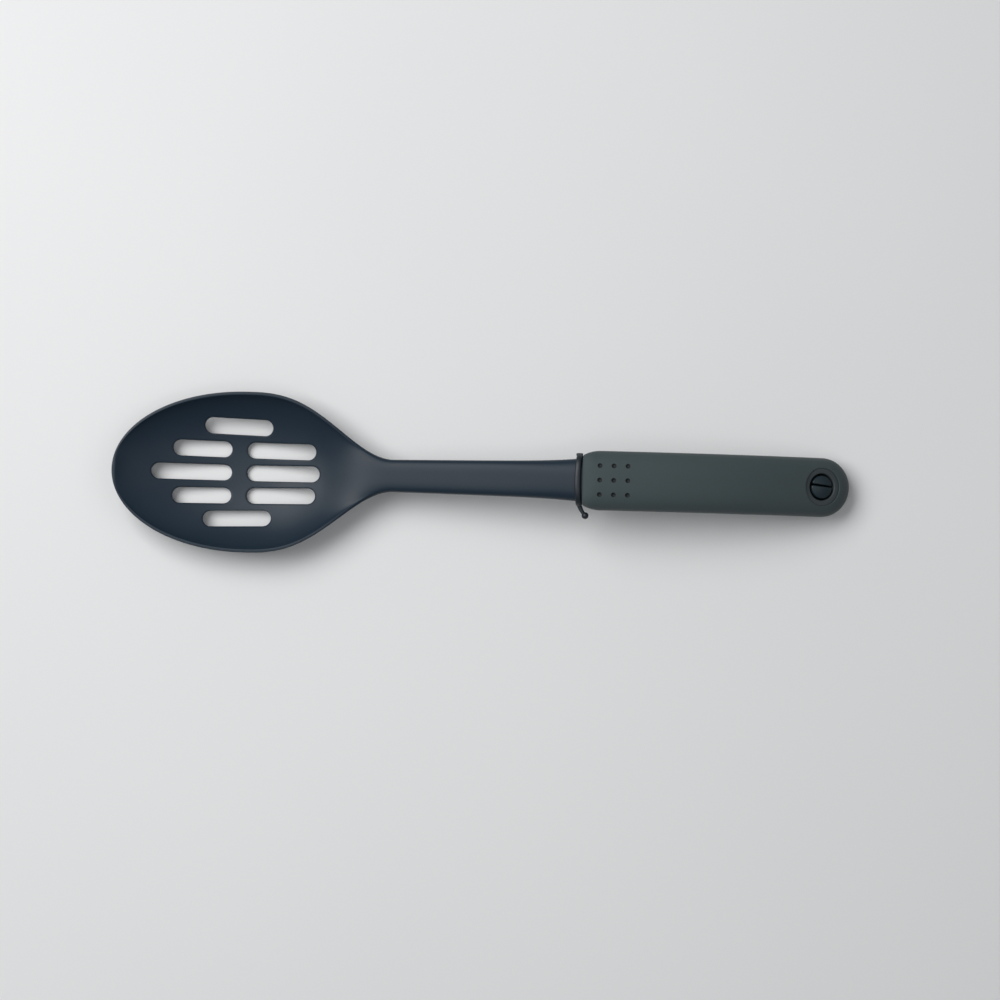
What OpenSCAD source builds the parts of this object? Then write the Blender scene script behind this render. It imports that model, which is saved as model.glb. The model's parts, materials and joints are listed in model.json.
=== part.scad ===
// Slotted serving spoon, lying on its bowl and on the end of its handle.
// +X runs from the bowl to the handle, +Y to the spoon's side and +Z up from the table.
// The origin is on the table under the middle of the spoon's length.

/* [Overall] */
// Length from the bowl's tip to the handle's end
total_len = 330; // [300:1:360]
// Distance from the bowl's tip to the handle's front face
handle_start = 210.4; // [196:0.2:222]

/* [Bowl] */
// Distance from the bowl's tip to its widest place
bowl_len = 60; // [54:0.5:66]
// Width of the bowl over its rim
bowl_w = 71.8; // [64:0.2:80]
// Height of the rim above the table at the bowl's widest place
rim_h = 15.6; // [13:0.1:19]
// How much higher the rim stands where it runs into the throat
rim_rise = 0.9; // [0:0.1:3]
// Thickness of the bowl's floor
floor_t = 2.6; // [1.8:0.1:3.6]
// Width of the rim's top edge
rim_w = 1.5; // [1.2:0.1:2.6]
// Depth to which the rim's top edge is rounded
rim_round = 0.6; // [0.2:0.1:1]
// How far the bowl's underside is flattened where it stands
foot_cut = 0.25; // [0.1:0.05:0.5]

/* [Slots] */
// Width of a slot
slot_w = 7.1; // [5:0.1:8]
// Distance between the middles of neighbouring rows
row_pitch = 10.3; // [9:0.1:11.5]
// Distance from the bowl's tip to the middle of the bridge that parts the slots
bridge_at = 56.2; // [54:0.1:60]
// Width of the bridge
bridge_w = 6.9; // [5:0.1:9]
// Length of the middle row's slot nearer to the tip
mid_tip_len = 35.8; // [28:0.1:37]
// Length of the middle row's slot nearer to the handle
mid_neck_len = 32.9; // [24:0.1:34]
// Length of the next rows' slots nearer to the tip
next_tip_len = 26.3; // [18:0.1:30]
// Length of the next rows' slots nearer to the handle
next_neck_len = 31.1; // [22:0.1:32]
// Length of the single slots in the outermost rows
outer_len = 30.5; // [22:0.1:34]
// Distance of those slots' middle before the bridge's middle
outer_back = 0.4; // [-2:0.1:3]
// Angle by which each row leans towards the next, away from the middle
row_lean = 0.8; // [0:0.1:2]

/* [Neck] */
// Length of the throat, from the bowl's widest place to the neck's narrowest
throat_len = 66; // [58:0.5:74]
// Width of the neck at its narrowest
neck_w = 14.4; // [12:0.1:16]
// Width that the neck's even taper reaches at the handle, without its flare
neck_taper_w = 17; // [15:0.1:19]
// Width of the neck at the handle
neck_end_w = 19.6; // [17:0.1:20.4]
// Thickness of the neck at its narrowest
neck_t = 6.8; // [5.6:0.1:8]
// Thickness of the neck at the handle
neck_end_t = 9.2; // [8:0.1:10]
// Angle at which the neck climbs towards the handle
neck_slope = 6; // [5:0.5:8]
// Width of the tang inside the handle
tang_w = 12; // [9:0.2:14]
// Thickness of the tang
tang_t = 4.6; // [3.6:0.1:5.4]
// Distance of the tang's end before the hang hole's liner, along its curve
tang_short = 27.2; // [14:0.2:50]
// Diameter of the tang's two keying holes
key_d = 5; // [3:0.1:6.4]

/* [Handle] */
// Width of the handle
handle_w = 26.4; // [24:0.2:30]
// Thickness of the handle
handle_t = 15; // [13.6:0.2:17]
// Width of the handle's front face
nose_w = 22.4; // [21.6:0.2:23.6]
// Thickness of the handle's front face
nose_t = 12.6; // [12:0.2:13.4]
// Length over which the front is rounded
nose_len = 7.5; // [5:0.5:10]
// Angle at which the handle's end slopes down
end_slope = 22; // [19:0.5:24]
// Thickness of the soft skin
skin_t = 1.8; // [1.5:0.1:2.2]
// How far the handle's underside is flattened where it stands
heel_cut = 0.15; // [0.05:0.05:0.3]

/* [Grip dimples] */
// Diameter of a dimple
dimple_d = 2.1; // [1.4:0.1:2.8]
// Depth of a dimple
dimple_depth = 1; // [0.5:0.1:1.2]
// Distance between dimples along the handle
dimple_pitch_x = 6; // [4:0.1:8]
// Distance between dimples across the handle
dimple_pitch_y = 6.4; // [4:0.1:7.2]
// Distance from the handle's front face to the first dimples
dimple_from = 7.6; // [6:0.1:14]

/* [Hang hole] */
// Diameter of the hang hole through its liner
hang_d = 12; // [11:0.1:13]
// Distance of the hang hole before the middle of the handle's round end
hang_inset = 2.5; // [0:0.1:4]
// Outer diameter of the liner's tube
liner_d = 14.2; // [13.8:0.1:14.8]
// Diameter of the liner's flanges
liner_flange_d = 16.8; // [15.6:0.1:17.4]
// Thickness of the liner's flanges
liner_flange_t = 1.2; // [0.8:0.1:1.6]
// Depth of the liner's face below the handle's crown
liner_recess = 1.1; // [0.8:0.1:1.5]
// Depth of the pocket that the liner leaves in the handle's back
back_pocket = 2.2; // [1.8:0.1:2.6]

/* [Plug] */
// Diameter of the plug's two half-round heads
plug_head_d = 10.2; // [8:0.1:10.8]
// Height of the dome on the heads
plug_dome = 0.9; // [0.4:0.1:1.4]
// Depth of the heads' top below the handle's crown
plug_below = 0.2; // [0:0.1:1.4]
// Width of the slit between the heads
plug_slit = 0.8; // [0.5:0.1:1.2]
// Distance of the slit from the plug's middle
plug_slit_off = 0.6; // [0:0.1:1.5]
// Angle of the slit to the handle's length
plug_turn = 6; // [0:1:90]
// Length of the plug's round collar
plug_collar_len = 4.4; // [3.4:0.1:5]
// Height of the snap rib on the collar
plug_rib = 0.35; // [0.2:0.05:0.45]
// Width of the snap rib along the plug
plug_rib_w = 0.8; // [0.6:0.1:1]
// Diameter of the plug's back flange
plug_flange_d = 15; // [13:0.1:15.2]
// Thickness of the plug's back flange
plug_flange_t = 1; // [0.8:0.1:1.4]

/* [Tie] */
// Width of the tie along the neck
tie_w = 2.6; // [1.8:0.1:3.2]
// Thickness of the tie
tie_t = 1.6; // [1:0.1:2]
// Length, width and height of the tie's lock, taken from its side
lock_size = [3, 1.5, 3.4]; // [1:0.1:5]
// How far the tie's middle bows towards the bowl
tie_bow = 0.5; // [0:0.1:1]
// Diameter of the tie's loose tail where it leaves the band
tail_root_d = 2.2; // [1.4:0.1:2.4]
// Diameter of the tail next to its ball
tail_d = 1.5; // [0.8:0.1:2]
// Distance that the tail reaches out from the tie
tail_out = 4.8; // [3:0.1:7]
// Distance that the tail leans back along the handle
tail_back = 2.8; // [1:0.1:3.4]
// Diameter of the ball on the tail's end
ball_d = 3.1; // [2:0.1:3.6]

/* [Hidden] */

// Clearances: a moulded bond, a running fit, and a loose fit between separate bodies
bond_gap = 0.05;
run_gap = 0.05;
loose_gap = 0.3;
// Overrun of every cut, and the length by which joined shapes run into each other
over = 1;
// How far the curve of the handle's front ends past the side, so that it crosses it cleanly
nose_past = 0.1;
// Facets of the round surfaces, of the handle's long arc, and of the tie's tail and ball
$fn = 64;
arc_facets = 256;
tail_facets = 24;
ball_facets = 32;

// Powers of the rounded outlines: tip, throat, neck's flare, sides of bar and handle, bowl's floor and slope
tip_power = 2.06;
throat_power = 1.34;
flare_power = 7;
bar_power = 2.6;
floor_power = 2.2;
slope_power = 1.35;
// How the bowl's depth follows its width
depth_power = 1.4;
// Where the bowl starts to turn into the neck, as a share of the throat
blend_from_share = 0.5;

// Counts of stations along the head and of points across it
tip_steps = 18;
throat_steps = 22;
neck_steps = 12;
side_steps = 18;
oval_steps = 48;
nose_steps = 6;

function mix(a, b, t) = a + (b - a) * t;
function smooth(t) = let (c = max(0, min(1, t))) c * c * (3 - 2 * c);
function root(v, p) = sign(v) * pow(abs(v), 2 / p);

// Handle's curve: an arc that leaves the neck at its slope and ends at the end's slope
function oval(w, t) = [for (i = [0:oval_steps - 1]) let (a = 360 * i / oval_steps)
    [t / 2 * root(cos(a), bar_power), w / 2 * root(sin(a), bar_power)]];
handle_oval = oval(handle_w, handle_t);
end_reach = max([for (p = handle_oval) p[1] * cos(end_slope) + p[0] * sin(end_slope)]);
end_drop = max([for (p = handle_oval) p[1] * sin(end_slope) + p[0] * cos(end_slope)]);
end_s = total_len - end_reach;
arc_r = (end_s - handle_start) / (sin(neck_slope) + sin(end_slope));
crest_s = handle_start + arc_r * sin(neck_slope);
end_z = end_drop - heel_cut;
crest_z = end_z + arc_r * (1 - cos(end_slope));
front_z = crest_z - arc_r * (1 - cos(neck_slope));
arc_len = arc_r * (neck_slope + end_slope) * PI / 180;
tang_len = arc_len - hang_inset - liner_d / 2 - tang_short;

// Head's stations and outline, all by the distance s from the bowl's tip
neck_s = bowl_len + throat_len;
function neck_share(s) = max(0, (s - neck_s) / (handle_start - neck_s));
function throat_share(s) = max(0, min(1, (s - bowl_len) / throat_len));
function blend(s) = smooth((throat_share(s) - blend_from_share) / (1 - blend_from_share));
function tip_w(s) = bowl_w / 2 * sqrt(max(0, 1 - pow(max(0, 1 - s / bowl_len), tip_power)));
function throat_w(s) = mix(neck_w, bowl_w, (1 + cos(180 * pow(throat_share(s), throat_power))) / 2) / 2;
function half_w(s) = s < bowl_len ? tip_w(s)
    : throat_w(s) + (neck_taper_w - neck_w) / 2 * neck_share(s)
        + (neck_end_w - neck_taper_w) / 2 * pow(neck_share(s), flare_power);
function neck_half_t(s) = mix(neck_t, neck_end_t, neck_share(s)) / 2;
function axis_z(s) = front_z - (handle_start - s) * tan(neck_slope);
function rim_z(s) = rim_h + rim_rise * (s - bowl_len) / throat_len;
function bowl_depth(s) = (rim_h + foot_cut) * pow(2 * half_w(s) / bowl_w, depth_power);

// Height of the widest line, depth under it, dome over it and hollow into it
function edge_z(s) = mix(rim_z(s), axis_z(s), blend(s));
function under(s) = mix(bowl_depth(s), neck_half_t(s), blend(s));
function dome(s) = mix(rim_round * min(1, half_w(s) / rim_w), neck_half_t(s), blend(s));
function hollow(s) = (1 - blend(s)) * max(0, bowl_depth(s) - floor_t + rim_round);
function side_curve(e, s) = pow(max(0, 1 - pow(e, mix(floor_power, bar_power, blend(s)))),
    1 / mix(slope_power, bar_power, blend(s)));
function bar_curve(e) = pow(max(0, 1 - pow(e, bar_power)), 1 / bar_power);
function top_z(s, y) = let (inner = max(rim_w / 2, half_w(s) - rim_w))
    dome(s) * bar_curve(min(1, abs(y) / half_w(s)))
    - hollow(s) * side_curve(min(1, abs(y) / inner), s);
function bottom_z(s, y) = -under(s) * side_curve(min(1, abs(y) / half_w(s)), s);

// One ring of the head: along the underside from one edge to the other, and back over the top
function on_head(s, y, z) = [s - z * tan(neck_slope) * blend(s), y, edge_z(s) + z];
function head_ring(s) = concat(
    [for (i = [0:side_steps - 1]) let (y = -half_w(s) * cos(180 * i / side_steps))
        on_head(s, y, bottom_z(s, y))],
    [for (i = [0:side_steps - 1]) let (y = half_w(s) * cos(180 * i / side_steps))
        on_head(s, y, top_z(s, y))]);
head_stations = concat(
    [for (i = [1:tip_steps]) bowl_len * (1 - cos(90 * i / tip_steps))],
    [for (i = [1:throat_steps]) bowl_len + throat_len * i / throat_steps],
    [for (i = [1:neck_steps]) mix(neck_s, handle_start, i / neck_steps)]);

// Tube of rings of n points, from a pole at its start to a flat face at its end
function tube_faces(rings, n) = concat(
    [for (j = [0:n - 1]) [0, 1 + j, 1 + (j + 1) % n]],
    [for (i = [0:rings - 2], j = [0:n - 1]) let (a = 1 + i * n, k = (j + 1) % n)
        each [[a + j, a + n + j, a + n + k], [a + j, a + n + k, a + k]]],
    [[for (j = [n - 1:-1:0]) 1 + (rings - 1) * n + j]]);

module head_blank() {
    rings = [for (s = head_stations) head_ring(s)];
    translate([-total_len / 2, 0, 0])
        polyhedron(points = concat([[0, 0, rim_z(0)]], [for (r = rings) each r]),
            faces = tube_faces(len(rings), 2 * side_steps), convexity = 6);
}

// Places: on the bowl's plan, and on the handle's arc at an angle past its crest
module on_plan(s, y) { translate([s - total_len / 2, y, 0]) children(); }
module on_arc(a) {
    translate([crest_s - total_len / 2 + arc_r * sin(a), 0, crest_z - arc_r * (1 - cos(a))])
        rotate([0, a, 0]) children();
}
module at_end() { on_arc(end_slope) children(); }
module at_hole() { at_end() translate([-hang_inset, 0, 0]) children(); }
module at_front() { on_arc(-neck_slope) children(); }
module along_arc(from, to) {
    translate([crest_s - total_len / 2, 0, crest_z - arc_r])
        rotate([90, 0, 0]) rotate([0, 0, 90 - to]) rotate_extrude(angle = to - from, $fn = arc_facets)
            translate([arc_r, 0]) children();
}
function arc_angle(length) = length / arc_r * 180 / PI;

module slot(length) {
    linear_extrude(rim_h + rim_rise + over) {
        square([length - slot_w, slot_w], center = true);
        for (side = [-1, 1]) translate([side * (length - slot_w) / 2, 0]) circle(d = slot_w);
    }
}

// Each row leans about the bridge, so that the rows draw together towards the handle
module slot_row(row) {
    on_plan(bridge_at, row * row_pitch) rotate([0, 0, -row * row_lean]) children();
}
module slots() {
    slot_row(0) {
        translate([-(bridge_w + mid_tip_len) / 2, 0, -over]) slot(mid_tip_len);
        translate([(bridge_w + mid_neck_len) / 2, 0, -over]) slot(mid_neck_len);
    }
    for (row = [-1, 1]) slot_row(row) {
        translate([-(bridge_w + next_tip_len) / 2, 0, -over]) slot(next_tip_len);
        translate([(bridge_w + next_neck_len) / 2, 0, -over]) slot(next_neck_len);
    }
    for (row = [-2, 2]) slot_row(row) translate([-outer_back, 0, -over]) slot(outer_len);
}

// Everything under the table's plane, over the length of one end of the spoon
module under_table(length) { translate([-length / 2, -bowl_w / 2, -over]) cube([length, bowl_w, over]); }

module tang(gap) {
    along_arc(-neck_slope - arc_angle(over), arc_angle(tang_len + gap) - neck_slope)
        square([tang_t + 2 * gap, tang_w + 2 * gap], center = true);
}
module tang_keys(gap) {
    for (share = [1 / 3, 2 / 3]) on_arc(arc_angle(tang_len * share) - neck_slope)
        cylinder(d = key_d + 2 * gap, h = tang_t + 2 * over, center = true);
}

module spoon_head() {
    color([0.17, 0.2, 0.23]) difference() {
        union() {
            head_blank();
            tang(0);
        }
        slots();
        tang_keys(0);
        on_plan(bridge_at, 0) under_table(bowl_len);
    }
}

// Handle's form: the arc, its round end about the hang hole, and its rounded front
module half_oval(w, t) {
    intersection() {
        polygon([for (p = oval(w, t)) [p[1], p[0]]]);
        translate([0, -t / 2]) square([w / 2, t]);
    }
}
function nose_half(from, to, u) = mix(from / 2, to / 2 + nose_past, 1 - pow(1 - u, 2));
module nose_plan(inset, lead) {
    edge = [for (i = [0:nose_steps]) let (u = i / nose_steps)
        [u * nose_len, nose_half(nose_w, handle_w, u) - inset]];
    back = [total_len, handle_w / 2 + over];
    half = concat([[-lead, edge[0][1]]], edge, [[nose_len + over, handle_w / 2 + over], back]);
    at_front() linear_extrude(2 * total_len, center = true)
        polygon(concat(half, [for (i = [len(half) - 1:-1:0]) [half[i][0], -half[i][1]]]));
}
function arc_point(length, lift) = let (a = arc_angle(length) - neck_slope)
    [crest_s - total_len / 2 + (arc_r + lift) * sin(a), crest_z - arc_r + (arc_r + lift) * cos(a)];
module nose_side(inset, lead) {
    lift = [for (i = [0:nose_steps]) let (u = i / nose_steps)
        [u * nose_len, nose_half(nose_t, handle_t, u) - inset]];
    top = concat([[-lead, lift[0][1]]], lift, [[nose_len + over, handle_t / 2 + over]]);
    far = [total_len, total_len];
    rotate([90, 0, 0]) linear_extrude(2 * handle_w, center = true) polygon(concat(
        [for (p = top) arc_point(p[0], p[1])], [far, [far[0], -far[1]]],
        [for (i = [len(top) - 1:-1:0]) arc_point(top[i][0], -top[i][1])]));
}
module handle_form(inset, lead) {
    intersection() {
        union() {
            along_arc(-neck_slope - arc_angle(lead), end_slope)
                polygon(oval(handle_w - 2 * inset, handle_t - 2 * inset));
            at_end() rotate([0, 0, -90]) rotate_extrude(angle = 180)
                half_oval(handle_w - 2 * inset, handle_t - 2 * inset);
        }
        nose_plan(inset, lead);
        nose_side(inset, lead);
    }
}

// Liner's faces, measured from the middle of the handle's thickness
liner_top = handle_t / 2 - liner_recess;
liner_back = handle_t / 2 - back_pocket;

module hole_disc(d, from, to) { at_hole() translate([0, 0, from]) cylinder(d = d, h = to - from); }

module handle_core() {
    color([0.12, 0.13, 0.14]) difference() {
        union() {
            difference() {
                handle_form(skin_t + bond_gap, 0);
                tang(bond_gap);
            }
            tang_keys(-bond_gap);
        }
        hole_disc(liner_d + 2 * bond_gap, -handle_t, handle_t);
        hole_disc(liner_flange_d + 2 * bond_gap, liner_top - liner_flange_t - bond_gap, handle_t);
        hole_disc(liner_flange_d + 2 * bond_gap, -handle_t, -liner_back + liner_flange_t + bond_gap);
    }
}

dimple_ball_r = (pow(dimple_d / 2, 2) + pow(dimple_depth, 2)) / (2 * dimple_depth);
function crown_at(y) = handle_t / 2 * bar_curve(min(1, 2 * abs(y) / handle_w));
module dimples() {
    for (i = [0:2], j = [-1:1]) on_arc(arc_angle(dimple_from + i * dimple_pitch_x) - neck_slope)
        translate([0, j * dimple_pitch_y, crown_at(j * dimple_pitch_y) - dimple_depth + dimple_ball_r])
            sphere(r = dimple_ball_r);
}

module grip_skin() {
    color([0.25, 0.28, 0.3]) difference() {
        handle_form(0, 0);
        handle_form(skin_t, over);
        hole_disc(liner_flange_d + 2 * bond_gap, -handle_t, handle_t);
        dimples();
        on_plan(total_len - handle_w / 2, 0) under_table(handle_w);
    }
}

// Groove that the plug's snap rib turns in
rib_top = -liner_back - loose_gap + plug_collar_len - plug_rib_w;
module hole_liner() {
    color([0.22, 0.25, 0.27]) difference() {
        union() {
            hole_disc(liner_d, -liner_back, liner_top);
            hole_disc(liner_flange_d, liner_top - liner_flange_t, liner_top);
            hole_disc(liner_flange_d, -liner_back, -liner_back + liner_flange_t);
        }
        hole_disc(hang_d, -handle_t, handle_t);
        hole_disc(hang_d + 2 * (plug_rib + run_gap),
            rib_top - plug_rib_w - loose_gap, rib_top + loose_gap);
    }
}

// Plug: a back flange, a collar that turns in the liner, and two half-round heads
plug_top = handle_t / 2 - plug_below;
plug_base = -liner_back - loose_gap;
plug_collar_d = hang_d - 2 * run_gap;
dome_r = (pow(plug_head_d / 2, 2) + pow(plug_dome, 2)) / (2 * plug_dome);
module hang_plug() {
    color([0.06, 0.08, 0.1]) difference() {
        union() {
            hole_disc(plug_flange_d, plug_base - plug_flange_t, plug_base);
            hole_disc(plug_collar_d, plug_base - plug_flange_t / 2, plug_base + plug_collar_len);
            hole_disc(plug_collar_d + 2 * plug_rib, rib_top - plug_rib_w, rib_top);
            intersection() {
                hole_disc(plug_head_d, plug_base, plug_top);
                at_hole() translate([0, 0, plug_top - dome_r]) sphere(r = dome_r);
            }
        }
        at_hole() rotate([0, 0, -plug_turn])
            translate([-plug_head_d, plug_slit_off - plug_slit / 2, plug_base + plug_collar_len])
                cube([2 * plug_head_d, plug_slit, handle_t]);
    }
}

// Tie: a rounded band that follows the neck's outline, with a lock and a tail
tie_mid_w = neck_end_w / 2 + loose_gap + tie_t / 2;
tie_mid_t = neck_end_t / 2 + loose_gap + tie_t / 2;
tie_sides = 8;
tie_rounds = 56;
function tie_mid(a) = [tie_mid_w * root(sin(a), bar_power), tie_mid_t * root(cos(a), bar_power)];
function tie_out(a) = let (m = tie_mid(a),
    g = [pow(abs(m[0]) / tie_mid_w, bar_power - 1) / tie_mid_w * sign(m[0]),
         pow(abs(m[1]) / tie_mid_t, bar_power - 1) / tie_mid_t * sign(m[1])]) g / norm(g);
function tie_ring(a) = [for (k = [0:tie_sides - 1])
    let (b = 360 * (k + 0.5) / tie_sides, m = tie_mid(a), o = tie_out(a))
    [tie_w / 2 * cos(b) + tie_bow * (pow(m[0] / tie_mid_w, 2) - 1),
     m[0] + o[0] * tie_t / 2 * sin(b), m[1] + o[1] * tie_t / 2 * sin(b)]];
module tie_band() {
    polyhedron(
        points = [for (i = [0:tie_rounds - 1]) each tie_ring(360 * (i + 0.5) / tie_rounds)],
        faces = [for (i = [0:tie_rounds - 1], k = [0:tie_sides - 1])
            let (a = i * tie_sides, b = ((i + 1) % tie_rounds) * tie_sides, n = (k + 1) % tie_sides)
            each [[a + k, b + n, b + k], [a + k, a + n, b + n]]],
        convexity = 4);
}
module neck_tie() {
    tail_angle = atan2(tail_out, tail_back);
    color([0.07, 0.08, 0.1]) at_front() translate([-loose_gap - tie_w / 2, 0, 0]) {
        tie_band();
        translate([tie_w / 2 - lock_size[0], tie_mid_w - tie_t / 4, -lock_size[2] / 2]) cube(lock_size);
        translate([0, -tie_mid_w, 0]) rotate([0, 0, -tail_angle]) rotate([0, 90, 0]) {
            cylinder(d1 = tail_root_d, d2 = tail_d, h = norm([tail_out, tail_back]), $fn = tail_facets);
            translate([0, 0, norm([tail_out, tail_back])]) sphere(d = ball_d, $fn = ball_facets);
        }
    }
}

spoon_head();
handle_core();
grip_skin();
hole_liner();
hang_plug();
neck_tie();
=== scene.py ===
"""Slotted serving spoon: its surfaces and finishes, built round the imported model.

Lengths are in millimetres in the model's own frame, and become metres when a mesh is made.
"""
import json
import logging
import math
from dataclasses import dataclass
from enum import Enum
from functools import cached_property
from typing import Sequence

import bmesh
import bpy
import numpy as np
from mathutils import Matrix, Vector
from mathutils.geometry import delaunay_2d_cdt
from numpy import ndarray as Array


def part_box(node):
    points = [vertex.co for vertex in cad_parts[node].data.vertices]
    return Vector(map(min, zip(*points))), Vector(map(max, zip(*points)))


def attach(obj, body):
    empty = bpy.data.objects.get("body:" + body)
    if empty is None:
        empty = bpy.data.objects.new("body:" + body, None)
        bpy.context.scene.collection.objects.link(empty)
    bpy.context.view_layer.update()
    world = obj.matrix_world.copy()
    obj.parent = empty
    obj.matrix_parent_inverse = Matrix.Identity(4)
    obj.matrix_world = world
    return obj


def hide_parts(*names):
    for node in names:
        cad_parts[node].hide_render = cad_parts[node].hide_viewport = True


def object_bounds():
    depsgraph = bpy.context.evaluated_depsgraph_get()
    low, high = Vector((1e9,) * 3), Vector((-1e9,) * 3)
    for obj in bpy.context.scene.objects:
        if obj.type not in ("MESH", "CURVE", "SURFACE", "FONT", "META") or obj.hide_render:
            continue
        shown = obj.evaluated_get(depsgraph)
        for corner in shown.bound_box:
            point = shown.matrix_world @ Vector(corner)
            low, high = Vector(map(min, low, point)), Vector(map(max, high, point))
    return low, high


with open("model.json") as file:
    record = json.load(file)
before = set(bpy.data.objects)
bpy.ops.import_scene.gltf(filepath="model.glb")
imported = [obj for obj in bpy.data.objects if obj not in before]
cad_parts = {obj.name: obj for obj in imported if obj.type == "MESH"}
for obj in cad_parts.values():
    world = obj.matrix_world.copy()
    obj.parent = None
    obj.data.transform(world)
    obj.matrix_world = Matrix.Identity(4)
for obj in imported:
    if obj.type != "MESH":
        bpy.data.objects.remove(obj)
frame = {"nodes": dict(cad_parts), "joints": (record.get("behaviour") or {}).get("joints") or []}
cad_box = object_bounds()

Triple = tuple[float, float, float]  # a place, a size or a colour
MM = 0.001
TINY = 1e-9  # a length that counts as nothing
FLAT_ANGLE = math.radians(48)  # edges sharper than this stay crisp when a piece is shaded
# Painted shade: where this attribute is 1, the grip's dimples get a darker base colour that stands in for
# the shade in their hollows.
PIT_SHADE_MARK = "pit"  # the attribute that tells the finish where the grip's dimples are

log = logging.getLogger("spoon")


class Side(Enum):
    """Which way a surface looks: up from the table, or down to it."""

    TOP = 1
    UNDER = -1


class Layer(Enum):
    """Which face of the soft skin: the one that shows, or the one on the core."""

    OUTER = 0
    INNER = 1


def joint(name: str) -> dict:
    """Returns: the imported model's joint of that name."""
    return next(j for j in frame["joints"] if j["name"] == name)


def width_of(node: str) -> float:
    """Returns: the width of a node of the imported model."""
    low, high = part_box(node)
    return (high.y - low.y) / MM


def columns(*parts: Array | float) -> Array:
    """Returns: the parts side by side, along a new last axis."""
    return np.stack(np.broadcast_arrays(*parts), axis=-1)


def circle(angle: Array) -> Array:
    """Returns: (cos a, sin a), points of a circle of radius 1."""
    return columns(np.cos(angle), np.sin(angle))


def all_round(steps: int) -> Array:
    """Returns: angles all the way round, in equal steps."""
    return np.linspace(0, 2 * math.pi, steps, endpoint=False)


def mix(a: Array, b: Array, share: Array) -> Array:
    """Returns: a where share is 0, b where it is 1, and a straight blend between."""
    return a + (b - a) * share


def smooth_step(share: Array) -> Array:
    """Returns: 3t^2 - 2t^3 of the share held between 0 and 1, level at both ends."""
    held = np.clip(share, 0, 1)
    return held * held * (3 - 2 * held)


def oval_height(reach: Array, power: Array, root: Array) -> Array:
    """Returns: (1 - reach^power)^(1/root), a rounded outline's height over its half width."""
    return np.maximum(0, 1 - np.clip(reach, 0, 1) ** power) ** (1 / root)


def oval_run(value: Array, power: float) -> Array:
    """Returns: value^(2/power) with its sign kept, which turns a circle's sine into an oval's."""
    return np.sign(value) * np.abs(value) ** (2 / power)


def edge_drop(distance: Array, radius: float) -> Array:
    """Drop of a quarter-round edge.

    Args:
        distance: how far a point lies inside the edge.
        radius: the edge's radius.
    Returns: r - sqrt(r^2 - (r - d)^2) up to the radius, and 0 further in.
    """
    short = np.clip(radius - np.asarray(distance, float), 0, radius)
    return radius - np.sqrt(radius * radius - short * short)


def sharpening(steps: int, power: float) -> Array:
    """Returns: shares from 0 to 1, 1 - (1 - t)^power, whose steps shrink towards 1."""
    return 1 - (1 - np.linspace(0, 1, steps + 1)) ** power


def inside(points: Array, loop: Array) -> Array:
    """Tells which points a closed loop encloses.

    Args:
        points: plan points, one a row.
        loop: the loop's corners, in order.
    Returns: for each point whether a ray along +X crosses the loop an odd number of times.
    """
    a, b = loop, np.roll(loop, -1, axis=0)
    y = points[:, 1:2]
    spans = (a[:, 1] > y) != (b[:, 1] > y)
    rise = np.where(b[:, 1] == a[:, 1], 1, b[:, 1] - a[:, 1])
    cross = a[:, 0] + (y - a[:, 1]) / rise * (b[:, 0] - a[:, 0])
    return np.sum(spans & (cross > points[:, :1]), axis=1) % 2 == 1


def pierced(border: Array, loose: Array, rims: Sequence[Array]) -> Array:
    """Triangles over a convex plan that leave out what its rims enclose.

    Args:
        border: the plan's outline, one point a row, in order.
        loose: points inside it.
        rims: closed outlines of what is left out, in order.
    Returns: corner numbers, counted through the border, the loose points and the rims in turn.
    """
    loops = [border, *rims]
    starts = np.cumsum([0, len(border) + len(loose), *[len(r) for r in rims]])[:len(loops)]
    edges = [
        (int(start + i), int(start + (i + 1) % len(loop)))
        for start, loop in zip(starts, loops)
        for i in range(len(loop))
    ]
    points = np.vstack([border, loose, *rims])
    made = delaunay_2d_cdt([Vector(p) for p in points.tolist()], edges, [], 0, TINY)
    origin = np.array([first[0] for first in made[3]])
    faces = origin[np.array(made[2])]
    middles = points[faces].mean(axis=1)
    keep = inside(middles, border)
    for rim in rims:
        keep &= ~inside(middles, rim)
    return faces[keep]


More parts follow.
